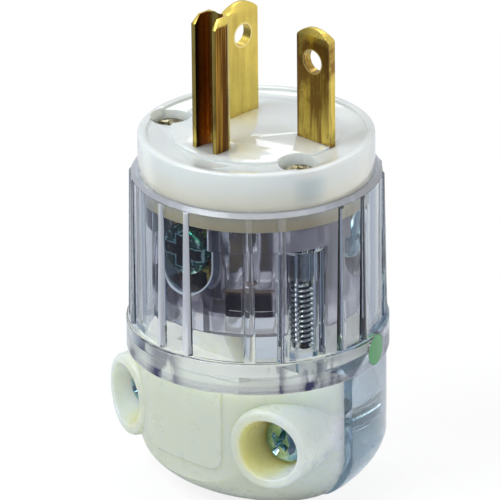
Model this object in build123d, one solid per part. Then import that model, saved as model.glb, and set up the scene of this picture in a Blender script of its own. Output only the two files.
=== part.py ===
from build123d import *

import math
import os

# A three-wire, 20 A straight-blade plug for a flexible cord, standing on its cord end with the blades up.
# The origin is the centre of the cord entry on the end face, and +Z runs from the cord to the blades.
# The earth pin and the cord clamp are on the -Y side, the round mark is on the +X side.
# Lengths are in millimetres and angles in degrees.

# Heights, from the cord end upwards
base_height = 21.0
band_height = 5.0
grip_height = 23.3
face_height = 5.9
band_top = base_height + band_height
shell_top = band_top + grip_height
face_top = shell_top + face_height

# Clear housing
base_radius = 19.1
band_radius = 19.55
grip_radius = 18.55
rib_circle = 18.3
rib_radius_low = 0.95
rib_radius_top = 0.55
rib_pairs = 8
rib_pair_angle = 7.5
rib_turn = 2.6
shell_bore = 16.9
floor_thickness = 2.2
floor_opening = 10.6
shell_top_chamfer = 0.9
band_edge_round = 0.4

# Cord end, shared by the housing and the clamp
taper_height = 7.4
end_half_width = 12.6
end_half_depth = 8.4
taper_fullness = 1.55
taper_sections = 5
cord_bore = 5.5
cord_grip_length = 9.0
chamber_waist = 9.0
chamber_waist_height = 16.0

# Gaps between fitted pieces
slip_gap = 0.15
seat_gap = 0.2
thread_gap = 0.05

# Face with the blade slots
face_radius = 17.5
face_edge_round = 0.5
skirt_length = 3.25
channel_inner = 12.6
channel_outer = 16.2
channel_depth = 0.4

# Blades and earth pin, to the 5-20 pattern
pin_row_y = 3.17
line_x = -6.35
neutral_x = 9.13
earth_spacing = 11.9
blade_width = 6.35
blade_thickness = 1.5
blade_length = 17.5
blade_tip_radius = 4.2
blade_shoulder_round = 0.7
blade_hole_radius = 1.7
blade_hole_height = 12.4
blade_bevel_height = 1.2
blade_bevel_depth = 0.4
earth_width = 4.9
earth_depth = 4.2
earth_sheet = 0.85
earth_inner_round = 1.5
earth_length = 20.6
earth_bevel_height = 1.4
earth_side_bevel = 0.5
earth_end_bevel = 1.0

# Terminals in the block
terminal_angles = {"ground": 270.0, "line": 155.0, "neutral": 25.0}
terminal_drop = 5.05
tab_width = 10.0
tab_drop = 6.8
tab_inner = 10.7
window_radius = 5.2
window_drop = 1.5
wire_clamp_side = 6.8
wire_clamp_thickness = 1.2
terminal_screw_radius = 2.1
terminal_screw_length = 6.0
terminal_head_radius = 3.95
terminal_head_height = 2.2

# Terminal block
block_radius = 15.6
block_length = 17.05
block_flange_radius = 16.4
block_flange_height = 3.6
block_ring_height = 3.05
block_ring_thickness = 2.2
wire_slot_width = 7.0
wire_slot_depth = 2.4
pocket_height = 4.0
pocket_depth = 2.4
pocket_angles_and_widths = ((-59.0, 2.4), (-43.8, 3.8))
groove_angle = -49.5
groove_width = 2.0
groove_depth = 2.0
groove_end_wall = 1.0

# Long screws that hold the face to the housing
face_screw_circle = 13.8
face_screw_angle = 70.6
face_screw_radius = 1.75
face_screw_length = 25.7
face_head_radius = 2.8
face_head_height = 1.8
face_counterbore_radius = 3.05
face_counterbore_depth = 2.7
column_radius = 3.1
column_web_width = 4.4
column_gap = 0.3
column_clear_depth = 5.0
bore_end_clearance = 0.5

# Cord clamp
clamp_radius = 17.7
clamp_front = 16.3
clamp_front_radius = 43.0
clamp_side_round = 8.0
clamp_pad_half_width = 7.4
clamp_pad_rise = 0.3
clamp_pad_corner = 2.0
clamp_pad_edge_round = 0.25
tongue_half_width = 2.6
tongue_foot_half_width = 6.4
tongue_rise = 5.9
tongue_front = 10.2
tongue_thickness = 3.6
tongue_round = 0.8
clamp_screw_x = 14.0
clamp_screw_z = 12.4
clamp_screw_radius = 2.05
clamp_screw_length = 16.6
clamp_screw_tip_y = 8.6
clamp_head_radius = 3.4
clamp_head_height = 2.2
ear_mouth_x = 15.0
ear_mouth_radius = 6.1
ear_tail_x = 10.6
ear_tail_radius = 7.1
ear_edge_round = 0.8
ear_recess_radius = 3.8
ear_recess_mouth_x = 15.5
ear_recess_mouth_radius = 5.25
ear_recess_seat = 0.6
ear_recess_edge_round = 0.25

# Round mark in the band
mark_angle = 17.0
mark_radius = 2.3
mark_thickness = 0.7

# Driving slots in the screw heads
drive_width_share = 0.28
drive_depth_share = 0.5
drive_length_share = 0.62

# Places that several pieces share
skirt_bottom = shell_top - skirt_length
skirt_radius = shell_bore - slip_gap
floor_top = base_height + floor_thickness
earth_y = pin_row_y - earth_spacing
terminal_z = skirt_bottom - terminal_drop
tab_outer = tab_inner + blade_thickness
block_bottom = skirt_bottom - block_length
flange_bottom = skirt_bottom - block_flange_height
column_top = flange_bottom - column_gap
channel_floor = face_top - channel_depth
face_screw_seat = channel_floor - face_counterbore_depth
face_screw_tip = face_screw_seat - face_screw_length
clamp_seat_y = clamp_screw_tip_y - clamp_screw_length
clamp_front_centre_y = clamp_front_radius - clamp_front
reach = 4 * band_radius


def disc(radius, height, z=0.0, x=0.0, y=0.0):
    return Pos(x, y, z) * Cylinder(radius, height, align=(Align.CENTER, Align.CENTER, Align.MIN))


def rod_along_y(radius, y_start, length, x, z):
    return Pos(x, y_start, z) * Rot(-90, 0, 0) * Cylinder(
        radius, length, align=(Align.CENTER, Align.CENTER, Align.MIN)
    )


def box_from(x_range, y_range, z_range):
    low = (x_range[0], y_range[0], z_range[0])
    size = [top - bottom for bottom, top in (x_range, y_range, z_range)]
    return Pos(*low) * Box(*size, align=(Align.MIN, Align.MIN, Align.MIN))


def rear_half():
    return box_from((-reach, reach), (0, reach), (-reach, base_height))


def face_screw_places():
    angle = math.radians(face_screw_angle)
    x = face_screw_circle * math.sin(angle)
    y = -face_screw_circle * math.cos(angle)
    return {"left": (-x, y), "right": (x, y)}


def terminal_frame(name):
    # A frame at the terminal screw whose X axis points out of the block and whose Z axis stays up.
    return Rot(0, 0, terminal_angles[name]) * Pos(0, 0, terminal_z)


# Outer form of the cord end: an oval end face that swells into a round wall
def cord_end_form(radius):
    sections = []
    for index in range(taper_sections):
        share = index / (taper_sections - 1)
        swell = (1 - (1 - share) ** taper_fullness) ** (1 / taper_fullness)
        half_width = end_half_width + (radius - end_half_width) * swell
        half_depth = end_half_depth + (radius - end_half_depth) * swell
        sections.append(Pos(0, 0, share * taper_height) * Ellipse(half_width, half_depth))
    sections[-1] = Pos(0, 0, taper_height) * Circle(radius)
    return loft(sections) + disc(radius, base_height - taper_height, taper_height)


# Space for the conductors: the cord grip, a flare above it and the opening in the housing's floor
def wire_passage():
    outline = [
        (0, -seat_gap),
        (cord_bore, -seat_gap),
        (cord_bore, cord_grip_length),
        (chamber_waist, chamber_waist_height),
        (floor_opening, base_height),
        (floor_opening, floor_top + seat_gap),
        (0, floor_top + seat_gap),
    ]
    return revolve(Plane.XZ * Polygon(*outline, align=None), Axis.Z)


# Ribbed grip: round ribs in pairs on a plain wall, thinning towards the face, and a bevelled top edge
def grip_form():
    grip = disc(grip_radius, grip_height, band_top)
    rib = Pos(rib_circle, 0, band_top) * Cone(
        rib_radius_low, rib_radius_top, grip_height, align=(Align.CENTER, Align.CENTER, Align.MIN)
    )
    for pair in range(rib_pairs):
        for side in (-rib_pair_angle, rib_pair_angle):
            grip += Rot(0, 0, pair * 360 / rib_pairs + side + rib_turn) * rib
    bevel_start = rib_circle + rib_radius_top - shell_top_chamfer
    limit = [
        (0, shell_top),
        (bevel_start, shell_top),
        (bevel_start + grip_height, band_top),
        (0, band_top),
    ]
    return grip & revolve(Plane.XZ * Polygon(*limit, align=None), Axis.Z)


def screw_column(x, y):
    height = column_top - floor_top
    direction = math.degrees(math.atan2(y, x))
    web = Rot(0, 0, direction) * box_from(
        (face_screw_circle, (shell_bore + grip_radius) / 2),
        (-column_web_width / 2, column_web_width / 2),
        (floor_top, column_top),
    )
    return disc(column_radius, height, floor_top, x, y) + web


def screw_column_bore(x, y):
    bore_bottom = face_screw_tip - bore_end_clearance
    threaded = disc(face_screw_radius + thread_gap, column_top - bore_bottom, bore_bottom, x, y)
    clear_bottom = column_top - column_clear_depth
    clear = disc(face_screw_radius + 2 * slip_gap, column_clear_depth, clear_bottom, x, y)
    return threaded + clear


# Clear housing: grip, band, floor, screw columns and the rear half of the cord end
def body_shell():
    band = disc(band_radius, band_height, base_height)
    band = fillet(band.edges().filter_by(GeomType.CIRCLE), band_edge_round)
    rear = cord_end_form(base_radius) & rear_half()
    shell = band + grip_form() + rear
    shell -= disc(shell_bore, reach, floor_top)
    for x, y in face_screw_places().values():
        shell += screw_column(x, y)
    for x, y in face_screw_places().values():
        shell -= screw_column_bore(x, y)
    shell -= wire_passage()
    shell -= tongue_notch()
    bore_length = clamp_screw_tip_y + bore_end_clearance
    for x in (-clamp_screw_x, clamp_screw_x):
        shell -= rod_along_y(clamp_screw_radius + thread_gap, 0, bore_length, x, clamp_screw_z)
    return shell - mark_rod(mark_radius + thread_gap)


def tongue_notch():
    # The gap in the floor that lets the clamp's tongue through.
    half = tongue_foot_half_width + slip_gap
    heights = (base_height - seat_gap, floor_top + seat_gap)
    return box_from((-half, half), (-tongue_front - slip_gap, 0), heights)


def mark_rod(radius):
    start = band_radius - mark_thickness
    rod = Rot(0, 90, 0) * disc(radius, 2 * mark_thickness, start)
    return Rot(0, 0, mark_angle) * Pos(0, 0, base_height + band_height / 2) * rod


# Round mark let into the band, its outer face following the band
def grade_mark():
    return mark_rod(mark_radius) & disc(band_radius, band_height, base_height)


def blade_outline(width, length, tip_radius):
    # A straight blade with a shallow arched tip, drawn from its foot at the origin.
    half = width / 2
    sagitta = tip_radius - math.sqrt(tip_radius**2 - half**2)
    shoulder = length - sagitta
    foot = Polyline((-half, shoulder), (-half, 0), (half, 0), (half, shoulder))
    tip = ThreePointArc((-half, shoulder), (0, length), (half, shoulder))
    outline = make_face(foot + tip)
    return fillet(outline.vertices().group_by(Axis.Y)[-1], blade_shoulder_round)


def tip_limit(half, foot_z, tip_z, bevel_height, bevel_depth):
    # A side view with both edges of its tip bevelled, to trim a blade or pin.
    return Polygon(
        (-half, foot_z),
        (half, foot_z),
        (half, tip_z - bevel_height),
        (half - bevel_depth, tip_z),
        (bevel_depth - half, tip_z),
        (-half, tip_z - bevel_height),
        align=None,
    )


def blade_solid():
    # A blade whose width lies along X, standing on the face plane and carried down to the shelf.
    foot_z = skirt_bottom - blade_thickness
    tip_z = face_top + blade_length
    flat = Plane.XZ * blade_outline(blade_width, tip_z - foot_z, blade_tip_radius)
    blade = Pos(0, 0, foot_z) * extrude(flat, blade_thickness / 2, both=True)
    side_view = tip_limit(blade_thickness / 2, foot_z, tip_z, blade_bevel_height, blade_bevel_depth)
    blade &= extrude(Plane.YZ * side_view, blade_width, both=True)
    hole_z = face_top + blade_hole_height
    return blade - rod_along_y(blade_hole_radius, -blade_thickness, 2 * blade_thickness, 0, hole_z)


# Shelf that joins a blade to its terminal tab, under the face, and the tab itself
def contact_tail(name, footprint):
    tab = terminal_frame(name) * box_from(
        (tab_inner, tab_outer), (-tab_width / 2, tab_width / 2), (-tab_drop, terminal_drop)
    )
    shelf = extrude(Pos(0, 0, skirt_bottom) * shelf_outline(name, footprint), -blade_thickness)
    hole = terminal_frame(name) * Rot(0, 90, 0) * Cylinder(
        terminal_screw_radius + thread_gap, reach, align=(Align.CENTER, Align.CENTER, Align.MIN)
    )
    return tab + shelf - hole


def shelf_outline(name, footprint):
    tab_base = Rot(0, 0, terminal_angles[name]) * Pos((tab_inner + tab_outer) / 2, 0) * Rectangle(
        blade_thickness, tab_width
    )
    return make_hull(footprint.edges() + tab_base.edges())


def blade_footprint(name):
    if name == "line":
        return Pos(line_x, pin_row_y) * Rectangle(blade_thickness, blade_width)
    if name == "neutral":
        return Pos(neutral_x, pin_row_y) * Rectangle(blade_width, blade_thickness)
    return Pos(0, earth_y) * Rectangle(earth_width, earth_depth)


def line_blade():
    blade = Pos(line_x, pin_row_y, 0) * Rot(0, 0, 90) * blade_solid()
    return blade + contact_tail("line", blade_footprint("line"))


def neutral_blade():
    blade = Pos(neutral_x, pin_row_y, 0) * blade_solid()
    return blade + contact_tail("neutral", blade_footprint("neutral"))


def earth_outline(grow=0.0):
    # A strip folded into a U: round-cornered back towards the blades, open towards the clamp.
    inner_width = earth_width - 2 * earth_sheet - 2 * grow
    bend = min(earth_inner_round, inner_width / 2 - thread_gap)
    outer = Pos(0, earth_y) * Rectangle(earth_width + 2 * grow, earth_depth + 2 * grow)
    outer = fillet(outer.vertices().group_by(Axis.Y)[-1], bend + earth_sheet)
    inner = Pos(0, earth_y - earth_sheet) * Rectangle(inner_width, earth_depth)
    inner = fillet(inner.vertices().group_by(Axis.Y)[-1], bend)
    return outer - inner


def ground_pin():
    foot_z = skirt_bottom - blade_thickness
    tip_z = face_top + earth_length
    pin = extrude(Pos(0, 0, foot_z) * earth_outline(), tip_z - foot_z)
    front_view = tip_limit(earth_width / 2, foot_z, tip_z, earth_bevel_height, earth_side_bevel)
    side_view = tip_limit(earth_depth / 2, foot_z, tip_z, earth_bevel_height, earth_end_bevel)
    pin &= Pos(0, earth_y, 0) * extrude(Plane.XZ * front_view, earth_depth, both=True)
    pin &= Pos(0, earth_y, 0) * extrude(Plane.YZ * side_view, earth_width, both=True)
    return pin + contact_tail("ground", blade_footprint("ground"))


# Face: a flat centre and a raised rim with a shallow channel between them, over a skirt that fits the housing
def face_disc():
    rim = disc(face_radius, face_height, shell_top)
    rim = fillet(rim.edges().group_by(Axis.Z)[-1], face_edge_round)
    skirt = disc(skirt_radius, skirt_length, skirt_bottom)
    channel = disc(channel_outer, reach, channel_floor) - disc(channel_inner, reach, channel_floor)
    face = rim + skirt - channel
    for x, y in face_screw_places().values():
        face -= disc(face_counterbore_radius, reach, face_screw_seat, x, y)
        face -= disc(face_screw_radius + slip_gap, reach, skirt_bottom - seat_gap, x, y)
    slots = [
        offset(blade_footprint("line"), thread_gap, kind=Kind.INTERSECTION),
        offset(blade_footprint("neutral"), thread_gap, kind=Kind.INTERSECTION),
        earth_outline(thread_gap),
    ]
    for slot in slots:
        face -= extrude(Pos(0, 0, skirt_bottom - seat_gap) * slot, reach)
    return face


# Terminal block: a flange under the face, a drum with three screw windows and an open ring below
def terminal_block():
    flange = disc(block_flange_radius, block_flange_height, flange_bottom)
    drum = disc(block_radius, block_length, block_bottom)
    block = flange + drum
    block -= disc(block_radius - block_ring_thickness, block_ring_height, block_bottom)
    for name in terminal_angles:
        block -= terminal_window(name)
        shelf = offset(shelf_outline(name, blade_footprint(name)), slip_gap, kind=Kind.INTERSECTION)
        block -= extrude(Pos(0, 0, skirt_bottom) * shelf, -blade_thickness - slip_gap)
    notch = column_radius + 2 * slip_gap
    for x, y in face_screw_places().values():
        direction = math.degrees(math.atan2(y, x))
        web = Rot(0, 0, direction) * box_from(
            (face_screw_circle, reach), (-notch, notch), (block_bottom, flange_bottom)
        )
        block -= disc(notch, flange_bottom - block_bottom, block_bottom, x, y) + web
        block -= disc(face_screw_radius + slip_gap, reach, block_bottom, x, y)
    for angle, width in pocket_angles_and_widths:
        block -= wall_pocket(angle, width)
        block -= wall_pocket(180 - angle, width)
    return block - wall_groove(groove_angle) - wall_groove(180 - groove_angle)


def wall_pocket(angle, width):
    # A blind pocket in the drum's wall, just above the ring.
    bottom = block_bottom + block_ring_height
    sides = (-width / 2, width / 2)
    pocket = box_from((block_radius - pocket_depth, reach), sides, (bottom, bottom + pocket_height))
    return Rot(0, 0, angle) * pocket


def wall_groove(angle):
    # A groove in the drum's wall, from the face down to a round end above the pockets.
    end_z = block_bottom + block_ring_height + pocket_height + groove_end_wall + groove_width / 2
    half = groove_width / 2
    floor = block_radius - groove_depth
    groove = box_from((floor, reach), (-half, half), (end_z, skirt_bottom))
    groove += Pos(0, 0, end_z) * Rot(0, 90, 0) * disc(half, reach - floor, floor)
    return Rot(0, 0, angle) * groove


def terminal_window(name):
    tab_slot = box_from(
        (tab_inner - slip_gap, tab_outer + slip_gap),
        (-tab_width / 2 - slip_gap, tab_width / 2 + slip_gap),
        (-tab_drop - slip_gap, terminal_drop + slip_gap),
    )
    arch = Pos(0, 0, -window_drop) * Rot(0, 90, 0) * disc(window_radius, reach, tab_outer)
    straight = box_from(
        (tab_outer, reach), (-window_radius, window_radius), (-window_drop, terminal_drop + slip_gap)
    )
    screw_relief = Rot(0, 90, 0) * disc(
        terminal_screw_radius + 2 * slip_gap, terminal_screw_length, tab_inner - screw_reach()
    )
    wire_slot = box_from(
        (tab_outer, tab_outer + wire_slot_depth),
        (-wire_slot_width / 2, wire_slot_width / 2),
        (block_bottom - terminal_z, 0),
    )
    return terminal_frame(name) * (tab_slot + arch + straight + screw_relief + wire_slot)


def screw_reach():
    # How far the terminal screw's tip stands past the inner face of the tab, with room to spare.
    return terminal_screw_length - wire_clamp_thickness - blade_thickness + bore_end_clearance


# Square plate under the terminal screw's head, which presses the wire to the tab
def wire_clamp(name):
    plate = box_from(
        (tab_outer, tab_outer + wire_clamp_thickness),
        (-wire_clamp_side / 2, wire_clamp_side / 2),
        (-wire_clamp_side / 2, wire_clamp_side / 2),
    )
    hole = Rot(0, 90, 0) * disc(terminal_screw_radius + slip_gap, reach, 0)
    return terminal_frame(name) * (plate - hole)


# Screw standing on its tip with a domed head and a cross recess
def screw(shank_radius, shank_length, head_radius, head_height):
    head = disc(head_radius, head_height, shank_length)
    head = fillet(head.edges().group_by(Axis.Z)[-1], head_height / 2)
    shank = disc(shank_radius, shank_length)
    shank = chamfer(shank.edges().group_by(Axis.Z)[0], shank_radius / 4)
    blank = head + shank
    arm = 2 * head_radius * drive_length_share
    width = 2 * head_radius * drive_width_share
    depth = head_height * drive_depth_share
    top = shank_length + head_height
    for size in ((arm, width), (width, arm)):
        blank -= Pos(0, 0, top - depth) * Box(*size, depth, align=(Align.CENTER, Align.CENTER, Align.MIN))
    return blank


def face_screw(side):
    x, y = face_screw_places()[side]
    blank = screw(face_screw_radius, face_screw_length, face_head_radius, face_head_height)
    return Pos(x, y, face_screw_tip) * blank


def terminal_screw(name):
    blank = screw(
        terminal_screw_radius, terminal_screw_length, terminal_head_radius, terminal_head_height
    )
    tip = tab_outer + wire_clamp_thickness - terminal_screw_length
    return terminal_frame(name) * Pos(tip, 0, 0) * Rot(0, 90, 0) * blank


def clamp_screw(x):
    blank = screw(clamp_screw_radius, clamp_screw_length, clamp_head_radius, clamp_head_height)
    return Pos(x, clamp_screw_tip_y, clamp_screw_z) * Rot(90, 0, 0) * blank


def clamp_front_limit(rise):
    # The curved front that trims the clamp and the mouths of its ears.
    return disc(clamp_front_radius + rise, 2 * reach, -reach, 0, clamp_front_centre_y)


def leaning_cone(near, far):
    # A cone between two upright circles, each given as its depth towards the front, its X and its radius.
    circles = [
        Plane.XZ.offset(depth) * Pos(x, clamp_screw_z) * Circle(radius) for depth, x, radius in (near, far)
    ]
    return loft(circles)


def clamp_ear(side):
    # A boss that leans out from the parting face to a mouth with a rounded rim.
    ear = leaning_cone(
        (seat_gap, side * ear_tail_x, ear_tail_radius),
        (clamp_front, side * ear_mouth_x, ear_mouth_radius),
    )
    ear &= clamp_front_limit(0)
    rim = ear.faces().sort_by(Axis.Y)[0].edges()
    return fillet(rim, ear_edge_round)


def ear_recess(side):
    # A round seat for the screw head and a well above it that widens and leans out with the ear.
    x = side * clamp_screw_x
    seat = rod_along_y(ear_recess_radius, clamp_seat_y - ear_recess_seat, ear_recess_seat, x, clamp_screw_z)
    well = leaning_cone(
        (ear_recess_seat - clamp_seat_y, x, ear_recess_radius),
        (clamp_front, side * ear_recess_mouth_x, ear_recess_mouth_radius),
    )
    return seat + well


def recess_mouths(form):
    # The closed edges where the wells leave the ears' curved front, inside the ears' own rims.
    loops = [edge for edge in form.edges().filter_by(GeomType.BSPLINE) if edge.is_closed]
    return [edge for edge in loops if edge.bounding_box().size.Z < 2 * ear_recess_mouth_radius]


def clamp_pad():
    # A low raised field on the front, with rounded lower corners and a soft edge.
    height = base_height - taper_height
    field = Rectangle(2 * clamp_pad_half_width, height, align=(Align.CENTER, Align.MIN))
    field = fillet(field.vertices().group_by(Axis.Y)[0], clamp_pad_corner)
    pad = extrude(Plane.XZ.offset(clamp_front / 2) * Pos(0, taper_height) * field, clamp_front)
    pad &= clamp_front_limit(clamp_pad_rise)
    return fillet(pad.faces().sort_by(Axis.Y)[0].edges(), clamp_pad_edge_round)


def clamp_tongue():
    # A rounded tab that rises through the housing's floor and locates the clamp.
    top = base_height + tongue_rise
    root = base_height - 2 * seat_gap
    outline = Polygon(
        (-tongue_foot_half_width, root),
        (tongue_foot_half_width, root),
        (tongue_half_width, top),
        (-tongue_half_width, top),
        align=None,
    )
    tab = extrude(Plane.XZ.offset(tongue_front - tongue_thickness) * outline, tongue_thickness)
    upright = tab.edges().filter_by(Axis.Y).group_by(Axis.Z)[-1]
    return fillet(upright, tongue_round)


# Cord clamp: the front half of the cord end, with an ear for each screw and a locating tongue
def cord_clamp():
    form = cord_end_form(clamp_radius)
    form &= box_from((-reach, reach), (-reach, -seat_gap), (-reach, base_height - seat_gap))
    pad = clamp_pad() & form
    form &= clamp_front_limit(0)
    creases = [edge for edge in form.edges().filter_by(Axis.Z) if edge.center().Y < -clamp_front / 2]
    form = fillet(creases, clamp_side_round)
    form += clamp_ear(-1) + clamp_ear(1)
    form += pad
    form += clamp_tongue()
    form -= wire_passage() - box_from(
        (-reach, reach), (-reach, -tongue_front + tongue_thickness), (base_height - 2 * seat_gap, reach)
    )
    for side in (-1, 1):
        form -= ear_recess(side)
        x = side * clamp_screw_x
        form -= rod_along_y(clamp_screw_radius + slip_gap, -reach, 2 * reach, x, clamp_screw_z)
    return fillet(recess_mouths(form), ear_recess_edge_round)


def build():
    pieces = {
        "body_shell": body_shell(),
        "face_disc": face_disc(),
        "terminal_block": terminal_block(),
        "cord_clamp": cord_clamp(),
        "line_blade": line_blade(),
        "neutral_blade": neutral_blade(),
        "ground_pin": ground_pin(),
        "grade_mark": grade_mark(),
        "clamp_screw_left": clamp_screw(-clamp_screw_x),
        "clamp_screw_right": clamp_screw(clamp_screw_x),
    }
    for side in ("left", "right"):
        pieces[f"face_screw_{side}"] = face_screw(side)
    for name in terminal_angles:
        pieces[f"{name}_wire_clamp"] = wire_clamp(name)
        pieces[f"{name}_terminal_screw"] = terminal_screw(name)
    return pieces


os.makedirs("parts", exist_ok=True)
for node, shape in build().items():
    export_step(shape, f"parts/{node}.step")
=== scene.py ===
import math
import bpy
from mathutils import Matrix, Vector


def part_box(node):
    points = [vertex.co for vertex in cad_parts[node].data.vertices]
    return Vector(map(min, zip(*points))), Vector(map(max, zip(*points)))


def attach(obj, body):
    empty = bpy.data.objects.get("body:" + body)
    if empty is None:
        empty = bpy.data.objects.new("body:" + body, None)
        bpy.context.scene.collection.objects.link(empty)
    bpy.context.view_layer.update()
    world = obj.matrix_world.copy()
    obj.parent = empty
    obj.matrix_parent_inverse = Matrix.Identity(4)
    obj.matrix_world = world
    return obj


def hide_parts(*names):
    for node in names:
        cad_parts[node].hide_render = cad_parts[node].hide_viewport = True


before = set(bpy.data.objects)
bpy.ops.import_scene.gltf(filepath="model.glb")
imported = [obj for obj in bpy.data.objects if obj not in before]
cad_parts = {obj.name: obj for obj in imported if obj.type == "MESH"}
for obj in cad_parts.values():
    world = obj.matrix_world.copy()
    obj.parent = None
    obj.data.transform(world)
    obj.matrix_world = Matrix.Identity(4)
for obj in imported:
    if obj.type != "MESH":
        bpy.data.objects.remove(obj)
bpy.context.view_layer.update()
mm = 0.001
print("frame loaded:", len(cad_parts), "nodes")


# Heights and places that the pieces share, read from the frame
def boxOf(node):
    low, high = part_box(node)
    return low, high, (low + high) / 2


faceTop = boxOf("face_disc")[1].z
shellTop = boxOf("body_shell")[1].z
bandHeight = 5.0 * mm  # the green spot sits in its middle
bandTop = boxOf("grade_mark")[2].z + bandHeight / 2
bandBottom = bandTop - bandHeight
skirtBottom = boxOf("terminal_block")[1].z
blockBottom = boxOf("terminal_block")[0].z
terminalMiddle = boxOf("ground_terminal_screw")[2]
faceScrewMiddle = boxOf("face_screw_right")[2]
pinMiddle = boxOf("ground_pin")[2]
clampScrewMiddle = boxOf("clamp_screw_right")[2]


# One wrapped socket, so that shader maths reads as plain sums
class Wire:
    def __init__(self, tree, socket):
        self.tree = tree
        self.socket = socket

    def maths(self, operation, *values):
        inputs = dict(enumerate(values))
        return addNode(self.tree, "ShaderNodeMath", {"operation": operation}, inputs)["Value"]

    def __add__(self, other):
        return self.maths("ADD", self, other)

    __radd__ = __add__

    def __mul__(self, other):
        return self.maths("MULTIPLY", self, other)

    __rmul__ = __mul__

    def __sub__(self, other):
        return self.maths("SUBTRACT", self, other)

    def __rsub__(self, other):
        return self.maths("SUBTRACT", other, self)

    def __abs__(self):
        return self.maths("ABSOLUTE", self)

    def sine(self):
        return self.maths("SINE", self)

    def root(self):
        return self.maths("SQRT", self)

    def least(self, other):
        return self.maths("MINIMUM", self, other)

    def most(self, other):
        return self.maths("MAXIMUM", self, other)

    def bearing(self, across):  # degrees round an axis, as this socket over the other one
        return self.maths("ARCTAN2", self, across) * (180 / math.pi)

    def clamp(self):
        return self.most(0.0).least(1.0)

    def ease(self, low, high):  # 0 below low, 1 above high, smooth between
        settings = {"interpolation_type": "SMOOTHSTEP"}
        inputs = {"Value": self, "From Min": low, "From Max": high}
        return addNode(self.tree, "ShaderNodeMapRange", settings, inputs)["Result"]


class Made:  # a node just added, whose outputs are read by name
    def __init__(self, tree, node):
        self.tree = tree
        self.node = node

    def __getitem__(self, name):
        return Wire(self.tree, self.node.outputs[name])


def feed(tree, target, value):
    if isinstance(value, Wire):
        tree.links.new(value.socket, target)
    elif isinstance(value, tuple) and len(value) == 3 and len(target.default_value) == 4:
        target.default_value = (*value, 1.0)
    else:
        target.default_value = value


def addNode(tree, kind, settings, inputs):
    node = tree.nodes.new(kind)
    for name, value in settings.items():
        setattr(node, name, value)
    for name, value in inputs.items():
        feed(tree, node.inputs[name], value)
    return Made(tree, node)


def mixColours(tree, mask, first, second):
    mixed = addNode(tree, "ShaderNodeMix", {"data_type": "RGBA"}, {0: mask, 6: first, 7: second})
    return Wire(tree, mixed.node.outputs[2])


def fromAxis(x, y, middle):  # distance from an upright axis and from its mirror image across X
    across, along = abs(x) - middle.x, y - middle.y
    return (across * across + along * along).root(), across, along


class Finish:  # a new material with its main shader and the few patterns that all finishes share
    def __init__(self, name):
        self.material = bpy.data.materials.new(name)
        self.material.use_nodes = True
        self.tree = self.material.node_tree
        self.tree.nodes.clear()
        self.shader = self.tree.nodes.new("ShaderNodeBsdfPrincipled")
        self.output = self.tree.nodes.new("ShaderNodeOutputMaterial")
        self.tree.links.new(self.shader.outputs["BSDF"], self.output.inputs["Surface"])
        self.place = self.add("ShaderNodeTexCoord")["Object"]

    def add(self, kind, settings=None, **inputs):
        named = {name.replace("_", " "): value for name, value in inputs.items()}
        return addNode(self.tree, kind, settings or {}, named)

    def set(self, **inputs):
        for name, value in inputs.items():
            feed(self.tree, self.shader.inputs[name.replace("_", " ")], value)

    def axes(self):
        split = self.add("ShaderNodeSeparateXYZ", Vector=self.place)
        return split["X"], split["Y"], split["Z"]

    def noise(self, scale, detail=2.0, roughness=0.5, stretch=(1, 1, 1)):
        moved = self.add("ShaderNodeMapping", Vector=self.place, Scale=stretch)["Vector"]
        made = self.add("ShaderNodeTexNoise", Vector=moved, Scale=scale, Detail=detail, Roughness=roughness)
        return made["Fac"]

    def blend(self, mask, first, second):
        return mixColours(self.tree, mask, first, second)

    def coat(self, mask, **inputs):  # a second surface over the ones so far where the mask says so
        top = self.add("ShaderNodeBsdfPrincipled", **inputs)["BSDF"]
        under = Wire(self.tree, self.output.inputs["Surface"].links[0].from_socket)
        mixed = addNode(self.tree, "ShaderNodeMixShader", {}, {0: mask, 1: under, 2: top})["Shader"]
        feed(self.tree, self.output.inputs["Surface"], mixed)

    def bump(self, height, strength, distance):
        bumped = self.add("ShaderNodeBump", Height=height, Strength=strength, Distance=distance)["Normal"]
        self.set(Normal=bumped)


# Finishes
clearPlasticLook = {
    "tint": (0.97, 0.98, 0.99),
    "ior": 1.57,
    "roughness": (0.01, 0.05),
    "waviness": 0.02 * mm,
    "bodyColour": (0.20, 0.42, 0.58),
    "bodyDensity": 17.0,
    "frostColour": (0.78, 0.80, 0.88),
    "frostRoughness": 0.35,
    "ribFoot": 18.74 * mm,
    "ribTaper": 0.007,
    "ribFrost": (0.08, 0.60),
    "frontRibs": (-17.0 * mm, -15.0 * mm),
    "rimFrost": 0.50,
    "rimDepth": 0.65 * mm,
    "rimInside": 17.0 * mm,
    "floorColour": (0.97, 0.95, 0.88),
    "floorFrost": 0.80,
    "floorTop": bandBottom + 2.3 * mm,
    "floorRadius": 16.7 * mm,
    "columnRadius": 3.1 * mm,
    "columnFoot": 24.0 * mm,
    "columnTop": skirtBottom - 3.9 * mm,
    "lipFrost": 0.8,
    "lineColour": (0.015, 0.02, 0.09),
    "lineStrength": 0.85,
    "lines": ((-102, 3, 5, 1.0), (-88, 2, 4, 1.0), (-3, 4, 7, 1.0), (13, 2, 5, 0.5)),  # painted dark reflections: bearing, narrow and wide half widths in degrees, and strength
    "bandShade": (0.03, 0.03, 0.10),
    "bandStrength": (0.62, 0.35),
    "bandPatches": (  # bearing and half width in degrees
        (-121, 9), (-92, 13), (-38, 5), (-22, 7), (-11, 4), (32, 9), (70, 12), (112, 7), (150, 10),
    ),
    "ringShade": (0.30, 0.29, 0.38),
    "ringStrength": 0.32,
    "rearColour": (0.60, 0.78, 0.92),
    "rearFrost": (0.08, 0.36),
    "rearFade": (5.0 * mm, 14.0 * mm),
}


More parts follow.
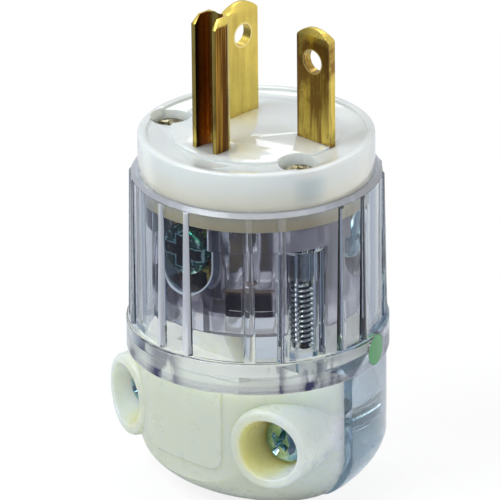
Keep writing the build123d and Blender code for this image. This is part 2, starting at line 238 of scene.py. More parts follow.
def crestFrostAndLight(look, y, z, out):  # the crests of the ribs and the edge of the rim are matt, and their pale frost is also painted light that the clear plastic would refract; the ribs at the front, towards -Y, get the most
    foot = look["ribFoot"] - (z - bandTop) * look["ribTaper"]  # the crest keeps its width as the rib tapers
    ribs = (out - foot).ease(0.0, 0.05 * mm) * z.ease(bandTop + 0.2 * mm, bandTop + 0.4 * mm)
    few, many = look["ribFrost"]
    ribs = ribs * (few + (many - few) * (1.0 - y.ease(*look["frontRibs"])))
    rimBottom = shellTop - look["rimDepth"]
    rim = z.ease(rimBottom, rimBottom + 0.15 * mm) * out.ease(look["rimInside"], look["rimInside"] + 0.2 * mm)
    return ribs.most(rim * look["rimFrost"])


def floorFrost(look, z, out):  # the floor over the wiring space: matt, and painted near-white for the light it reflects
    floor = z.ease(bandBottom - 0.2 * mm, bandBottom + 0.2 * mm)
    floor = floor * (1.0 - z.ease(look["floorTop"], look["floorTop"] + 0.2 * mm))
    return floor * (1.0 - out.ease(look["floorRadius"], look["floorRadius"] + 0.2 * mm)) * look["floorFrost"]


def columnMarks(look, x, y, z, out):  # the matt lips of the screw columns, and painted dark reflections in lines down their walls
    apart, across, along = fromAxis(x, y, faceScrewMiddle)
    wall = look["columnRadius"]
    column = apart.ease(wall - 0.15 * mm, wall - 0.05 * mm)
    column = column * (1.0 - apart.ease(wall + 0.1 * mm, wall + 0.2 * mm))
    column = column * z.ease(look["columnFoot"], look["columnFoot"] + 0.5 * mm)
    column = column * (1.0 - out.ease(16.6 * mm, 16.8 * mm))
    lip = column * z.ease(look["columnTop"] - 0.45 * mm, look["columnTop"] - 0.35 * mm)
    turn = along.bearing(across)
    lines = 0.0
    for place, narrow, wide, strength in look["lines"]:
        lines = lines + (1.0 - abs(turn - place).ease(narrow, wide)) * strength
    return lip, (lines * column * (1.0 - lip)).clamp()


def bandMarks(finish, look, x, y, z, out):  # painted shade on the band: a grey foot and dark mottling
    turn = y.bearing(x)
    patches = 0.0
    for place, width in look["bandPatches"]:
        patches = patches + (1.0 - abs(turn - place).ease(width * 0.3, width))
    band = z.ease(bandBottom - 0.1 * mm, bandBottom + 0.2 * mm) * (1.0 - z.ease(bandTop - 0.6 * mm, bandTop))
    band = band * out.ease(19.0 * mm, 19.3 * mm)
    ring = band * (1.0 - z.ease(bandBottom + 1.3 * mm, bandBottom + 1.8 * mm))
    shadeMottle = finish.noise(330, 3, 0.6, (1, 1, 0.45)).ease(0.40, 0.54)
    plain, more = look["bandStrength"]
    return ring, patches * shadeMottle * band * (plain + ring * more)


def rearFrost(finish, look, y, z, out):  # a fine grain on the outside of the cord end's rear half
    outer = out.ease(15.0 * mm, 17.5 * mm).most(1.0 - z.ease(3.0 * mm, 9.0 * mm))
    rear = outer * y.ease(0.0, 0.5 * mm) * (1.0 - z.ease(bandBottom - 1.0 * mm, bandBottom - 0.2 * mm))
    grain = finish.noise(1500, 3, 0.6, (1, 1, 2)) * 0.5 + 0.72
    few, many = look["rearFrost"]
    return rear * grain * (few + (many - few) * (1.0 - z.ease(*look["rearFade"])))


def clearPlastic():
    look = clearPlasticLook
    finish = Finish("clearPlastic")
    smudge = finish.noise(160, 3, 0.6)
    low, high = look["roughness"]
    finish.set(Base_Color=look["tint"], Transmission_Weight=1.0, IOR=look["ior"])
    finish.set(Roughness=smudge.ease(0.45, 0.75) * (high - low) + low)
    finish.bump(finish.noise(220, 2), 0.3, look["waviness"])
    x, y, z = finish.axes()
    out = (x * x + y * y).root()
    lip, lines = columnMarks(look, x, y, z, out)
    ring, patches = bandMarks(finish, look, x, y, z, out)
    # matt frost, also painted pale for the light that the ribs and the rim would refract
    frostAndLight = crestFrostAndLight(look, y, z, out).most(lip * look["lipFrost"])
    matt = look["frostRoughness"]
    finish.coat(frostAndLight, Base_Color=look["frostColour"], Roughness=matt, IOR=look["ior"])
    # painted light: the matt floor over the wiring space is near-white
    finish.coat(floorFrost(look, z, out), Base_Color=look["floorColour"], Roughness=matt)
    # painted dark reflections in lines down the column walls
    lines = lines * look["lineStrength"]
    finish.coat(lines, Base_Color=look["lineColour"], Roughness=0.3, Specular_IOR_Level=0.1)
    # painted shade: a grey foot on the band and dark patches over it
    finish.coat(ring * look["ringStrength"], Base_Color=look["ringShade"], Roughness=0.2)
    finish.coat(patches, Base_Color=look["bandShade"], Roughness=0.15)
    finish.coat(rearFrost(finish, look, y, z, out), Base_Color=look["rearColour"], Roughness=0.3)
    body = finish.add("ShaderNodeVolumeAbsorption", Color=look["bodyColour"], Density=look["bodyDensity"])
    feed(finish.tree, finish.output.inputs["Volume"], body["Volume"])
    return finish.material


smokyPlasticLook = {
    "tint": (0.33, 0.30, 0.36),
    "light": (0.80, 0.81, 0.87),
    "lightSide": (5.0 * mm, 10.0 * mm),
    "ring": (0.95, 0.93, 0.96),
    "ringHeight": 3.05 * mm,
    "haze": (0.60, 0.57, 0.66),
    "hazeStrength": 0.35,
    "hazeSide": (12.6 * mm, 14.2 * mm),
    "pocket": (0.012, 0.008, 0.014),
    "brown": (0.20, 0.13, 0.08),
    "pocketStrength": 0.95,
    "pocketHeight": 4.0 * mm,
    "pocketRadii": (12.9 * mm, 15.3 * mm),
    "pocketFacing": (0.58, 0.90),
    "window": (0.12, 0.20, 0.29),
    "windowStrength": 0.75,
    "windowRadius": 5.2 * mm,
    "windowDrop": 1.5 * mm,
    "outline": (0.75, 0.77, 0.85),
    "outlineStrength": 0.8,
    "ior": 1.5,
    "clearness": 0.95,
    "roughness": 0.06,
}


def pocketMask(look, y, z, out):  # the two pockets at the front of the block
    ringTop = blockBottom + look["ringHeight"]
    pocketTop = ringTop + look["pocketHeight"]
    inner, outer = look["pocketRadii"]
    left, right = look["pocketFacing"]
    within = out.ease(inner, inner + 0.2 * mm) * (1.0 - out.ease(outer, outer + 0.2 * mm))
    facing = out.maths("DIVIDE", 0.0 - y, out)
    front = facing.ease(left, left + 0.04) * (1.0 - facing.ease(right, right + 0.02))
    tall = z.ease(ringTop - 0.1 * mm, ringTop) * (1.0 - z.ease(pocketTop, pocketTop + 0.1 * mm))
    return tall * within * front


def windowMask(look, x, y, z):  # the wall of the arched window before the ground screw, where blue-grey shade is painted
    up = (z - (terminalMiddle.z - look["windowDrop"])).least(0.0)
    arch = (x * x + up * up).root() - look["windowRadius"]
    return (1.0 - abs(arch).ease(0.12 * mm, 0.3 * mm)) * (1.0 - y.ease(-12.4 * mm, -12.2 * mm))


def smokyPlastic():
    look = smokyPlasticLook
    finish = Finish("smokyPlastic")
    x, y, z = finish.axes()
    out = (x * x + y * y).root()
    ringTop = blockBottom + look["ringHeight"]
    ring = 1.0 - z.ease(ringTop - 0.3 * mm, ringTop - 0.1 * mm)
    wall = windowMask(look, x, y, z) * (1.0 - ring)
    edge = wall * out.ease(15.2 * mm, 15.4 * mm).most(y.ease(-12.8 * mm, -12.7 * mm))
    # painted light: the block is paler towards +X, and a pale haze lies over its +X side
    colour = finish.blend(x.ease(*look["lightSide"]), look["tint"], look["light"])
    colour = finish.blend(ring, colour, look["ring"])
    finish.set(Base_Color=colour, Transmission_Weight=look["clearness"], IOR=look["ior"])
    haze = x.ease(*look["hazeSide"]) * look["hazeStrength"]
    finish.coat(haze, Base_Color=look["haze"], Roughness=0.3)
    # painted shade on the window's wall
    finish.coat(wall * look["windowStrength"], Base_Color=look["window"], Roughness=0.3)
    # painted highlight along the edges of the window's wall
    finish.coat(edge * look["outlineStrength"], Base_Color=look["outline"], Roughness=0.3)
    # painted shade in the two pockets: near black, and brown towards their tops
    inside = finish.blend(z.ease(ringTop + 2.2 * mm, ringTop + 3.6 * mm), look["pocket"], look["brown"])
    pocket = pocketMask(look, y, z, out) * look["pocketStrength"]
    finish.coat(pocket, Base_Color=inside, Roughness=0.4, Specular_IOR_Level=0.0)
    finish.set(Roughness=finish.noise(300, 2) * 0.08 + look["roughness"])
    finish.bump(finish.noise(260, 2), 0.3, 0.03 * mm)
    return finish.material


milkyPlasticLook = {
    "pale": (0.79, 0.84, 0.85),
    "warm": (0.80, 0.75, 0.58),
    "warmHeights": (shellTop - 1.5 * mm, shellTop + 5.2 * mm),
    "cloudShare": 0.15,
    "gold": (0.66, 0.50, 0.20),
    "goldHeights": (skirtBottom + 0.3 * mm, skirtBottom + 2.6 * mm),
    "goldStrength": 0.55,
    "screwShade": (0.36, 0.50, 0.56),
    "shadeStrength": 0.5,
    "depth": 2.5 * mm,
    "ior": 1.5,
    "roughness": 0.12,
}


def screwShade(look, x, y, height):  # painted shade: a face screw's head is seen dimly through the wall before it
    apart, _, _ = fromAxis(x, y, faceScrewMiddle)
    near = 1.0 - apart.ease(3.4 * mm, 4.8 * mm)
    outer = (x * x + y * y).root().ease(15.8 * mm, 16.4 * mm)
    tall = height.ease(shellTop, shellTop + 1.6 * mm)
    tall = tall * (1.0 - height.ease(faceTop - 2.2 * mm, faceTop - 0.6 * mm))
    return near * outer * tall * look["shadeStrength"]


def milkyPlastic():
    look = milkyPlasticLook
    finish = Finish("milkyPlastic")
    x, y, height = finish.axes()
    low = 1.0 - height.ease(*look["warmHeights"])
    share = look["cloudShare"]
    mask = (low * (1.0 - share) + finish.noise(90, 2) * share).clamp()
    colour = finish.blend(mask, look["pale"], look["warm"])
    foot = 1.0 - height.ease(*look["goldHeights"])
    colour = finish.blend(foot * look["goldStrength"], colour, look["gold"])
    finish.set(Base_Color=finish.blend(screwShade(look, x, y, height), colour, look["screwShade"]))
    finish.set(Subsurface_Weight=0.6, Subsurface_Scale=look["depth"], Subsurface_Radius=(1.0, 0.95, 0.8))
    finish.set(IOR=look["ior"], Roughness=finish.noise(500, 2) * 0.04 + look["roughness"])
    finish.set(Coat_Weight=1.0, Coat_Roughness=0.02, Coat_IOR=1.6)
    finish.bump(finish.noise(900, 2), 0.15, 0.02 * mm)
    return finish.material


creamPlasticLook = {
    "pale": (0.69, 0.72, 0.61),
    "thin": (0.72, 0.80, 0.79),
    "thinSide": (-1.0 * mm, 3.0 * mm),
    "cloudShare": 0.25,
    "well": (0.86, 0.82, 0.40),
    "wellOutside": (0.90, 0.98, 0.98),
    "wellRadii": (3.9 * mm, 5.0 * mm),
    "wellDepths": (-15.6 * mm, -14.2 * mm),
    "tongue": (0.93, 0.91, 0.80),
    "tongueHeights": (bandBottom - 0.6 * mm, bandBottom),
    "speck": (0.45, 0.42, 0.28),
    "speckShare": (0.83, 0.86),
    "speckStrength": 0.5,
    "depth": 4.0 * mm,
    "ior": 1.5,
    "roughness": 0.24,
}


def creamPlastic():
    look = creamPlasticLook
    finish = Finish("creamPlastic")
    x, y, z = finish.axes()
    across = abs(x) - clampScrewMiddle.x
    up = z - clampScrewMiddle.z
    inWell = 1.0 - (across * across + up * up).root().ease(*look["wellRadii"])
    inWell = inWell * y.ease(*look["wellDepths"])
    outside = across.ease(*look["thinSide"])  # painted light: the ears' thin outer walls are painted paler as if they glowed, the inner ones stay deep
    share = look["cloudShare"]
    colour = finish.blend(finish.noise(45, 2) * share + outside * (1.0 - share), look["pale"], look["thin"])
    # painted shade in the screw wells: olive-yellow, with painted light on their outer walls
    colour = finish.blend(inWell, colour, finish.blend(outside, look["well"], look["wellOutside"]))
    colour = finish.blend(z.ease(*look["tongueHeights"]), colour, look["tongue"])
    specks = finish.noise(3600, 0).ease(*look["speckShare"])
    finish.set(Base_Color=finish.blend(specks * look["speckStrength"], colour, look["speck"]))
    finish.set(Subsurface_Weight=1.0, Subsurface_Scale=look["depth"], Subsurface_Radius=(1.0, 0.95, 0.6))
    finish.set(IOR=look["ior"], Roughness=finish.noise(400, 2) * 0.08 + look["roughness"])
    finish.bump(finish.noise(700, 2), 0.12, 0.01 * mm)
    return finish.material


brassLook = {
    "bright": (0.70, 0.55, 0.125),
    "aged": (0.27, 0.16, 0.04),
    "tip": (faceTop + 15.2 * mm, faceTop + 16.6 * mm),
    "tipCare": 0.75,
    "flank": ((0.46, 0.26, 0.045), (0.12, 0.050, 0.010)),
    "flankSide": (2.25 * mm, 2.4 * mm),
    "inside": ((0.008, 0.003, 0.003), (0.44, 0.15, 0.04)),
    "insideSide": (1.66 * mm, 1.76 * mm),
    "insideDepths": (pinMiddle.y - 1.6 * mm, pinMiddle.y + 0.6 * mm),
    "foldDepths": (pinMiddle.y + 0.8 * mm, pinMiddle.y + 1.6 * mm),
    "hole": (0.80, 0.66, 0.26),
    "holeRadius": 1.7 * mm,
    "holeHeight": 12.4 * mm,
    "holeEdge": (0.22 * mm, 0.32 * mm),
    "roughness": 0.24,
}


def foldedPinColour(finish, look, colour):  # painted shade keeps the pin's hollow dark, and its flanks are browned
    x, y, _ = finish.axes()
    hollowShade = (1.0 - abs(x).ease(*look["insideSide"])) * (1.0 - y.ease(*look["foldDepths"]))
    lines = finish.noise(1400, 3, 0.6, (1, 1, 0.02))
    flank = finish.blend(lines.ease(0.40, 0.56), *look["flank"])
    colour = finish.blend(abs(x).ease(*look["flankSide"]), colour, flank)
    return finish.blend(hollowShade, colour, finish.blend(y.ease(*look["insideDepths"]), *look["inside"]))


def holeColour(finish, look, colour, holeAxis):  # the punched hole has a bright broken edge
    x, y, z = finish.axes()
    along = (x if holeAxis[0] == "x" else y) - holeAxis[1]
    up = z - (faceTop + look["holeHeight"])
    near = (along * along + up * up).root() - look["holeRadius"]
    edge = near.ease(0.0, 0.05 * mm) * (1.0 - near.ease(*look["holeEdge"]))
    return finish.blend(edge, colour, look["hole"])


def brass(name, ageing, foldedStrip=False, holeAxis=None):
    look = brassLook
    finish = Finish(name)
    streaks = finish.noise(900, 4, 0.6, (1, 1, 0.06))
    patches = finish.noise(160, 4, 0.65)
    tip = finish.axes()[2].ease(*look["tip"])
    aged = (streaks.ease(0.42, 0.72) * 0.6 + patches.ease(0.4, 0.7) * 0.6) * ageing
    aged = aged * (1.0 - tip * look["tipCare"])
    colour = finish.blend(aged.clamp(), look["bright"], look["aged"])
    if foldedStrip:
        colour = foldedPinColour(finish, look, colour)
    if holeAxis:
        colour = holeColour(finish, look, colour, holeAxis)
    finish.set(Base_Color=colour, Metallic=1.0)
    finish.set(Roughness=streaks.ease(0.3, 0.8) * 0.16 + look["roughness"])
    finish.bump(streaks + finish.noise(2500, 2) * 0.3, 0.3, 0.02 * mm)
    return finish.material


zincLook = {
    "blue": (0.26, 0.46, 0.52),
    "silver": (0.62, 0.74, 0.78),
    "roughness": 0.08,
}


def zincPlate():
    look = zincLook
    finish = Finish("zincPlate")
    patches = finish.noise(500, 3, 0.6)
    finish.set(Base_Color=finish.blend(patches.ease(0.4, 0.7), look["blue"], look["silver"]), Metallic=1.0)
    finish.set(Roughness=patches * 0.12 + look["roughness"])
    finish.bump(finish.noise(2200, 2), 0.25, 0.02 * mm)
    return finish.material


greenScrewLook = {
    "deep": (0.010, 0.085, 0.060),
    "light": (0.05, 0.30, 0.20),
    "edge": (0.62, 0.95, 0.82),
    "edgeWidth": 0.12 * mm,
    "recess": (0.006, 0.004, 0.010),
    "headRadius": 3.95 * mm,
    "cross": (0.20, 0.60),
    "slot": (0.20, 0.92),
    "roughness": 0.08,
}


def greenScrew():
    look = greenScrewLook
    finish = Finish("greenScrew")
    x, _, z = finish.axes()
    side, rise = abs(x) * (1 / look["headRadius"]), abs(z - terminalMiddle.z) * (1 / look["headRadius"])
    cross = (side - look["cross"][0]).most(rise - look["cross"][1])
    slot = (rise - look["slot"][0]).most(side - look["slot"][1])
    away = cross.least(slot) * look["headRadius"]  # negative in the driving recess
    # painted highlight along the edge of the driving recess
    edge = 1.0 - abs(away - look["edgeWidth"]).ease(0.05 * mm, 0.16 * mm)
    colour = finish.blend(finish.noise(700, 3, 0.6).ease(0.4, 0.65), look["deep"], look["light"])
    # painted glints on the head
    paintedGlints = finish.noise(1100, 2, 0.5).ease(0.60, 0.64)
    colour = finish.blend(paintedGlints, colour, look["edge"])
    colour = finish.blend(edge, colour, look["edge"])
    # painted shade: the driving recess is near black
    colour = finish.blend(1.0 - away.ease(-0.04 * mm, 0.02 * mm), colour, look["recess"])
    finish.set(Base_Color=colour, Metallic=1.0, Roughness=finish.noise(500, 2) * 0.1 + look["roughness"])
    finish.bump(finish.noise(1200, 2), 0.4, 0.04 * mm)
    return finish.material


faceScrewLook = {
    "silver": (0.72, 0.76, 0.74),
    "root": (0.010, 0.012, 0.012),
    "rootRadii": (1.42 * mm, 1.54 * mm),
    "shank": (0.62, 0.67, 0.66),
    "head": ((0.10, 0.085, 0.045), (0.50, 0.46, 0.32)),
    "threadTop": 37.0 * mm,
    "roughness": 0.14,
}


def longScrew():
    look = faceScrewLook
    finish = Finish("longScrew")
    x, y, z = finish.axes()
    apart, _, _ = fromAxis(x, y, faceScrewMiddle)
    patches = finish.noise(900, 3, 0.6).ease(0.4, 0.65)
    # painted shade: the roots of the thread are near black
    thread = finish.blend(apart.ease(*look["rootRadii"]), look["root"], look["silver"])
    colour = finish.blend(z.ease(look["threadTop"], look["threadTop"] + 0.2 * mm), thread, look["shank"])
    head = z.ease(shellTop, shellTop + 1.0 * mm)
    finish.set(Base_Color=finish.blend(head, colour, finish.blend(patches, *look["head"])), Metallic=1.0)
    finish.set(Roughness=patches * 0.12 + look["roughness"])
    finish.bump(finish.noise(2200, 2), 0.25, 0.02 * mm)
    return finish.material


greenInlayLook = {
    "deep": (0.035, 0.26, 0.075),
    "light": (0.09, 0.38, 0.13),
    "roughness": 0.25,
}


def greenInlay():
    look = greenInlayLook
    finish = Finish("greenInlay")
    cloud = finish.noise(600, 2)
    finish.set(Base_Color=finish.blend(cloud, look["deep"], look["light"]))
    finish.set(Roughness=cloud * 0.1 + look["roughness"])
    return finish.material


fullBrass = brass("bladeBrass", 0.35)
zinc = zincPlate()
platedScrew = longScrew()
finishOf = {
    "body_shell": clearPlastic(),
    "terminal_block": smokyPlastic(),
    "face_disc": milkyPlastic(),
    "cord_clamp": creamPlastic(),
    "grade_mark": greenInlay(),
    "ground_terminal_screw": greenScrew(),
    "ground_pin": brass("pinBrass", 0.8, foldedStrip=True),
    "line_blade": brass("lineBrass", 0.35, holeAxis=("y", 3.17 * mm)),
    "neutral_blade": brass("agedBrass", 2.1, holeAxis=("x", 9.13 * mm)),
    "clamp_screw_left": zinc,
    "clamp_screw_right": zinc,
    "neutral_terminal_screw": zinc,
    "face_screw_left": platedScrew,
    "face_screw_right": platedScrew,
}
for node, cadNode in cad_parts.items():
    finishOf.setdefault(node, fullBrass)
    for slot in cadNode.material_slots:
        slot.link = "OBJECT"
        slot.material = finishOf[node]
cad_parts["body_shell"].visible_shadow = False  # light reaches the pieces inside
print("finishes set")


smoothAngle = {"brass": 20, "other": 35}  # degrees, by slot


# Helpers for modelling by hand
def deselect():
    bpy.ops.object.select_all(action="DESELECT")


def only(piece):
    deselect()
    piece.select_set(True)
    bpy.context.view_layer.objects.active = piece


def applyModifier(piece, kind, **settings):
    only(piece)
    modifier = piece.modifiers.new(kind.title(), kind)
    for name, value in settings.items():
        setattr(modifier, name, value)
    bpy.ops.object.modifier_apply(modifier=modifier.name)


def roundEdges(piece, width, angle, segments=2):
    turn = math.radians(angle)
    applyModifier(piece, "BEVEL", width=width, segments=segments, limit_method="ANGLE", angle_limit=turn)


def finishPiece(piece, name, node, slot):
    only(piece)
    bpy.ops.object.transform_apply(location=True, rotation=True, scale=True)
    bpy.ops.object.shade_smooth_by_angle(angle=math.radians(smoothAngle.get(slot, smoothAngle["other"])))
    piece.name = name
    piece.data.name = name
    piece.data.materials.clear()
    piece.data.materials.append(finishOf[node])
    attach(piece, "root")
    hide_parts(node)


# Pieces whose moulded or blanked edges are rounded over, each from a merged copy of its CAD mesh
roundedLook = {
    "face_disc": {"name": "faceMoulding", "slot": "face_plastic", "edge": 0.16 * mm, "angle": 40},
    "terminal_block": {"name": "blockMoulding", "slot": "block_plastic", "edge": 0.2 * mm, "angle": 40},
    "line_blade": {"name": "lineBlade", "slot": "brass", "edge": 0.12 * mm, "angle": 30},
    "neutral_blade": {"name": "neutralBlade", "slot": "brass", "edge": 0.12 * mm, "angle": 30},
    "ground_pin": {"name": "groundPin", "slot": "brass", "edge": 0.12 * mm, "angle": 30},
}
mergeGap = 0.002 * mm
flatAngle = 0.4


def makeRounded(node, look):
    piece = bpy.data.objects.new(look["name"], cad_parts[node].data.copy())
    bpy.context.collection.objects.link(piece)
    only(piece)
    bpy.ops.mesh.customdata_custom_splitnormals_clear()
    bpy.ops.object.mode_set(mode="EDIT")
    bpy.ops.mesh.select_all(action="SELECT")
    bpy.ops.mesh.remove_doubles(threshold=mergeGap)
    bpy.ops.mesh.dissolve_limited(angle_limit=math.radians(flatAngle))
    bpy.ops.object.mode_set(mode="OBJECT")
    roundEdges(piece, look["edge"], look["angle"])
    finishPiece(piece, look["name"], node, look["slot"])
    piece.visible_shadow = node != "terminal_block"  # the block is clear too and lets light through


for node, look in roundedLook.items():
    makeRounded(node, look)
print("rounded pieces made")


# Screws with a combination drive and a rolled thread
screwLook = {
    "rootShare": 0.80,
    "pitch": 0.8 * mm,
    "flank": 0.34 * mm,
    "crest": 0.07 * mm,
    "turnSteps": 20,
    "headSides": 48,
    "headRound": 0.55,
    "headSegments": 6,
    "rodSides": 32,
    "rodEdge": 0.15 * mm,
    "shankShare": 0.97,
    "crossArm": 0.62,
    "crossWidth": 0.20,
    "slotArm": 0.94,
    "slotWidth": 0.17,
    "crossDepth": 0.62,
    "slotDepth": 0.36,
    "slotTaper": 0.6,
    "edge": 0.06 * mm,
    "edgeAngle": 40,
    "tolerance": 0.01 * mm,
}


def cutSlot(head, length, width, depth, top, turn):  # a driving slot that narrows downwards
    bpy.ops.mesh.primitive_cube_add(size=1, location=(0, 0, top))
    cutter = bpy.context.object
    cutter.scale = (length, width, 2 * depth)
    cutter.rotation_euler = (0, 0, math.radians(turn))
    for corner in cutter.data.vertices:
        if corner.co.z < 0:
            corner.co.x *= screwLook["slotTaper"]
            corner.co.y *= screwLook["slotTaper"]
    applyModifier(head, "BOOLEAN", operation="DIFFERENCE", object=cutter, solver="EXACT")
    bpy.data.objects.remove(cutter, do_unlink=True)


def makeHead(radius, height, bottom):
    look = screwLook
    top = bottom + height
    middle = (0, 0, bottom + height / 2)
    sides = look["headSides"]
    bpy.ops.mesh.primitive_cylinder_add(vertices=sides, radius=radius, depth=height, location=middle)
    head = bpy.context.object
    bpy.ops.object.transform_apply(location=True)
    bpy.ops.object.mode_set(mode="EDIT")
    bpy.ops.mesh.select_all(action="DESELECT")
    bpy.ops.object.mode_set(mode="OBJECT")
    corners = head.data.vertices
    for edge in head.data.edges:
        edge.select = all(abs(corners[index].co.z - top) < look["tolerance"] for index in edge.vertices)
    bpy.ops.object.mode_set(mode="EDIT")
    bpy.ops.mesh.bevel(offset=look["headRound"] * height, segments=look["headSegments"], profile=0.5)
    bpy.ops.object.mode_set(mode="OBJECT")
    across = 2 * radius
    for turn in (0, 90):
        size = (across * look["crossArm"], across * look["crossWidth"], height * look["crossDepth"])
        cutSlot(head, *size, top, turn)
    cutSlot(head, across * look["slotArm"], across * look["slotWidth"], height * look["slotDepth"], top, 0)
    roundEdges(head, look["edge"], look["edgeAngle"])
    return head


def addRod(radius, low, high):
    look = screwLook
    middle = (0, 0, (low + high) / 2)
    sides = look["rodSides"]
    bpy.ops.mesh.primitive_cylinder_add(vertices=sides, radius=radius, depth=high - low, location=middle)
    rod = bpy.context.object
    roundEdges(rod, look["rodEdge"], look["edgeAngle"])
    return rod


def addThread(radius, low, high):
    look = screwLook
    root, flank, crest = radius * look["rootShare"], look["flank"], look["crest"]
    bpy.ops.mesh.primitive_circle_add(vertices=4, radius=flank)
    thread = bpy.context.object
    section = ((root, -flank), (radius, -crest), (radius, crest), (root, flank))
    for corner, (out, up) in zip(thread.data.vertices, section):
        corner.co = (out, 0, low + up)
    turns = int((high - low) / look["pitch"])
    applyModifier(
        thread, "SCREW", axis="Z", screw_offset=look["pitch"], iterations=turns, steps=look["turnSteps"],
        render_steps=look["turnSteps"], use_merge_vertices=True, merge_threshold=mergeGap / 2,
    )
    bpy.ops.object.mode_set(mode="EDIT")
    bpy.ops.mesh.select_all(action="DESELECT")
    bpy.ops.mesh.select_non_manifold()
    bpy.ops.mesh.fill_holes(sides=0)
    bpy.ops.mesh.select_all(action="SELECT")
    bpy.ops.mesh.normals_make_consistent(inside=False)
    bpy.ops.object.mode_set(mode="OBJECT")
    return thread


def makeScrew(name, node, slot, size, matrix):
    deselect()
    low, high, length, radius = size["threadStart"], size["threadEnd"], size["length"], size["radius"]
    head = makeHead(size["headRadius"], size["headHeight"], length)
    parts = [addRod(radius * screwLook["rootShare"], 0, length), addThread(radius, low, high)]
    if size["plain"]:
        parts.append(addRod(radius * screwLook["shankShare"], high, length))
    only(head)
    for part in parts:
        part.select_set(True)
    bpy.ops.object.join()
    head.matrix_world = matrix
    finishPiece(head, name, node, slot)


faceScrewSize = {
    "radius": 1.75 * mm,
    "headHeight": 1.8 * mm,
    "threadStart": 0.6 * mm,
    "threadEnd": 11.0 * mm,
    "plain": True,
    "turn": {"left": 35, "right": -20},
}
for side, turn in faceScrewSize["turn"].items():
    low, high, middle = boxOf(f"face_screw_{side}")
    size = dict(faceScrewSize, headRadius=middle.x - low.x)
    size["length"] = high.z - low.z - size["headHeight"]
    place = Matrix.Translation((middle.x, middle.y, low.z)) @ Matrix.Rotation(math.radians(turn), 4, "Z")
    makeScrew(f"faceScrew{side.title()}", f"face_screw_{side}", "zinc", size, place)

clampScrewSize = {
    "radius": 2.05 * mm,
    "headHeight": 2.2 * mm,
    "threadStart": 0.6 * mm,
    "threadEnd": 14.0 * mm,
    "plain": False,
    "turn": {"left": 20, "right": 62},
}
for side, turn in clampScrewSize["turn"].items():
    low, high, middle = boxOf(f"clamp_screw_{side}")
    size = dict(clampScrewSize, headRadius=high.z - middle.z)
    size["length"] = high.y - low.y - size["headHeight"]
    place = Matrix.Translation((middle.x, high.y, middle.z)) @ Matrix.Rotation(math.pi / 2, 4, "X")
    place = place @ Matrix.Rotation(math.radians(turn), 4, "Z")
    makeScrew(f"clampScrew{side.title()}", f"clamp_screw_{side}", "zinc", size, place)

terminalScrewSize = {
    "radius": 2.1 * mm,
    "headHeight": 2.2 * mm,
    "threadStart": 0.4 * mm,
    "threadEnd": 4.6 * mm,
    "plain": False,
    "turn": 90,
    "bearings": {"ground": (270, "green_screw"), "line": (155, "brass"), "neutral": (25, "zinc")},
}
groundLow, groundHigh, groundMiddle = boxOf("ground_terminal_screw")
terminalScrewSize["headRadius"] = groundHigh.z - groundMiddle.z
terminalScrewSize["length"] = groundHigh.y - groundLow.y - terminalScrewSize["headHeight"]
for name, (bearing, slot) in terminalScrewSize["bearings"].items():
    place = Matrix.Rotation(math.radians(bearing), 4, "Z")
    place = place @ Matrix.Translation((-groundHigh.y, 0, groundMiddle.z))
    place = place @ Matrix.Rotation(math.pi / 2, 4, "Y")
    place = place @ Matrix.Rotation(math.radians(terminalScrewSize["turn"]), 4, "Z")
    makeScrew(f"{name}TerminalScrew", f"{name}_terminal_screw", slot, terminalScrewSize, place)
print("screws made")


# Floor, background and light
stageLook = {
    "floorSize": 3.0,
    "floorGap": 0.0001,
    "floorColour": (0.9, 0.9, 0.9),
    "floorGlow": (0.80, 0.97),
    "glowStrength": 1.05,
    "worldFill": 0.38,
    "cardTop": (0.3, 0.7),
    "cameraDistance": 1.0,
    "azimuth": 43.9,
    "elevation": 22.55,
    "roll": 0.52,
    "pixelsPerMm": 6.813,
    "frameSize": 500,
    "discTopPixel": (256.2, 129.0),
    "sensorWidth": 36,
    "clipStart": 0.01,
}
cardLook = {  # how much of each card shows, and the bearings that it covers
    "sideColour": (0.14, 0.21, 0.31),
    "stripeColour": (0.02, 0.03, 0.09),
    "sides": (0.35, 0.80),
    "sideShare": 0.9,
    "behind": (0.50, 0.85),
    "behindShare": 0.35,
    "wide": (0.35, 0.9),
    "wideBearing": 200,
    "wideShare": 0.8,
    "forward": (0.30, 0.75),
    "forwardShare": 0.88,
    "stripes": (0.35, 0.6),
    "stripeShares": (0.5, 0.12),
}


def cards(tree, x, y, rays, share):  # grey and dark cards around, which only metal and clear plastic show
    look = cardLook
    through, glossy = rays["Is Transmission Ray"], rays["Is Glossy Ray"]
    turn = x.maths("ARCTAN2", y, x)
    ahead = (turn + math.radians(180 - stageLook["azimuth"])).sine()
    sides = abs((turn + math.radians(90 - stageLook["azimuth"])).sine()).ease(*look["sides"])
    wide = (turn + math.radians(look["wideBearing"])).sine().ease(*look["wide"])
    forward = ahead.ease(*look["forward"])
    behind = (0.0 - ahead).ease(*look["behind"])
    stripes = ((turn * 7 + 0.6).sine() * 0.6 + (turn * 13 + 2.1).sine() * 0.4).ease(*look["stripes"])
    pale = (through * sides * look["sideShare"]).most(glossy * behind * look["behindShare"])
    grey = mixColours(tree, pale * share, (1.0, 1.0, 1.0), look["sideColour"])
    shine = glossy * (wide * look["wideShare"]).most(forward * look["forwardShare"])
    most, least = look["stripeShares"]
    dark = (through * stripes * (sides * most + least) + shine) * share
    return mixColours(tree, dark.clamp(), grey, look["stripeColour"])


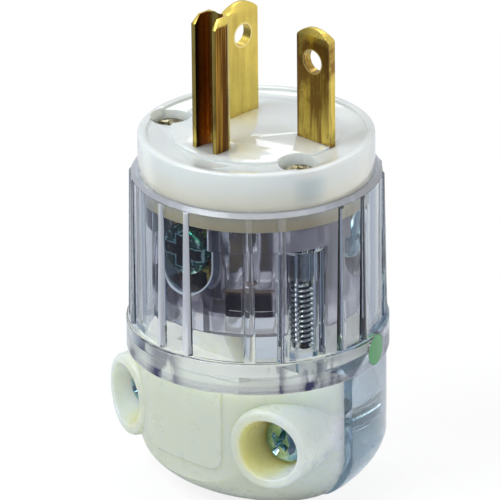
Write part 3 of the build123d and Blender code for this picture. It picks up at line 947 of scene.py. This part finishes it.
def makeFloor():
    deselect()
    bpy.ops.mesh.primitive_plane_add(size=stageLook["floorSize"], location=(0, 0, -stageLook["floorGap"]))
    floor = bpy.context.object
    floor.name = "floor"
    material = bpy.data.materials.new("floorWhite")
    material.use_nodes = True
    tree = material.node_tree
    tree.nodes.clear()
    rays = addNode(tree, "ShaderNodeLightPath", {}, {})
    plain, glossy = stageLook["floorGlow"]
    seen = rays["Is Camera Ray"].most(rays["Is Transmission Ray"]) * plain
    seen = seen.most(rays["Is Glossy Ray"] * glossy)
    place = addNode(tree, "ShaderNodeTexCoord", {}, {})["Object"]
    split = addNode(tree, "ShaderNodeSeparateXYZ", {}, {"Vector": place})
    colour = cards(tree, split["X"], split["Y"], rays, 1.0)
    matte = addNode(tree, "ShaderNodeBsdfDiffuse", {}, {"Color": stageLook["floorColour"]})["BSDF"]
    shown = {"Color": colour, "Strength": stageLook["glowStrength"]}
    glow = addNode(tree, "ShaderNodeEmission", {}, shown)["Emission"]
    mixed = addNode(tree, "ShaderNodeMixShader", {}, {0: seen, 1: matte, 2: glow})["Shader"]
    addNode(tree, "ShaderNodeOutputMaterial", {}, {"Surface": mixed})
    floor.data.materials.append(material)


def makeWorld():
    world = bpy.data.worlds.new("studio")
    bpy.context.scene.world = world
    world.use_nodes = True
    tree = world.node_tree
    tree.nodes.clear()
    rays = addNode(tree, "ShaderNodeLightPath", {}, {})
    seen = (rays["Is Camera Ray"] + rays["Is Glossy Ray"] + rays["Is Transmission Ray"]).clamp()
    direction = addNode(tree, "ShaderNodeTexCoord", {}, {})["Generated"]
    split = addNode(tree, "ShaderNodeSeparateXYZ", {}, {"Vector": direction})
    lower = 1.0 - split["Z"].ease(*stageLook["cardTop"])
    colour = cards(tree, split["X"], split["Y"], rays, lower)
    strength = seen * (1.0 - stageLook["worldFill"]) + stageLook["worldFill"]
    lit = addNode(tree, "ShaderNodeBackground", {}, {"Color": colour, "Strength": strength})["Background"]
    addNode(tree, "ShaderNodeOutputWorld", {}, {"Surface": lit})


softBoxes = {
    "key": {"azimuth": -22, "elevation": 50, "size": 0.5, "watts": 4.5, "tint": (0.90, 0.97, 1.0)},
    "side": {"azimuth": 105, "elevation": 30, "size": 0.4, "watts": 1.4, "tint": (1, 1, 1)},
    "back": {"azimuth": 215, "elevation": 55, "size": 0.6, "watts": 2.0, "tint": (1, 1, 1)},
}
boxDistance = 0.9


def outward(azimuth, elevation):
    a, e = math.radians(azimuth), math.radians(elevation)
    return Vector((math.sin(a) * math.cos(e), -math.cos(a) * math.cos(e), math.sin(e)))


def makeLights():
    aim = Vector((0, 0, faceTop / 2))
    for name, box in softBoxes.items():
        away = outward(box["azimuth"], box["elevation"]) * boxDistance
        bpy.ops.object.light_add(type="AREA", location=aim + away)
        lamp = bpy.context.object
        lamp.name = name
        lamp.data.energy = box["watts"]
        lamp.data.size = box["size"]
        lamp.data.color = box["tint"]
        lamp.rotation_euler = away.to_track_quat("Z", "Y").to_euler()


def makeCamera():
    look = stageLook
    back = outward(look["azimuth"], look["elevation"])
    right = Vector((math.cos(math.radians(look["azimuth"])), math.sin(math.radians(look["azimuth"])), 0))
    up = back.cross(right)
    roll = math.radians(look["roll"])
    rightRolled = right * math.cos(roll) - up * math.sin(roll)
    upRolled = right * math.sin(roll) + up * math.cos(roll)
    focal = look["pixelsPerMm"] * look["cameraDistance"] / mm  # focal length in pixels
    middle = look["frameSize"] / 2
    across = middle - look["discTopPixel"][0]
    down = middle - look["discTopPixel"][1]
    aim = (rightRolled * across - upRolled * down - back * focal).normalized()
    side = aim.cross(upRolled).normalized()
    turn = Matrix((side, side.cross(aim), -aim)).transposed()
    bpy.ops.object.camera_add(location=Vector((0, 0, faceTop)) + back * look["cameraDistance"])
    camera = bpy.context.object
    camera.rotation_euler = turn.to_euler()
    camera.data.sensor_width = look["sensorWidth"]
    camera.data.lens = focal / look["frameSize"] * camera.data.sensor_width
    camera.data.clip_start = look["clipStart"]
    bpy.context.scene.camera = camera


makeFloor()
makeWorld()
makeLights()
makeCamera()
bpy.context.scene.view_settings.view_transform = "Standard"
print("stage set")
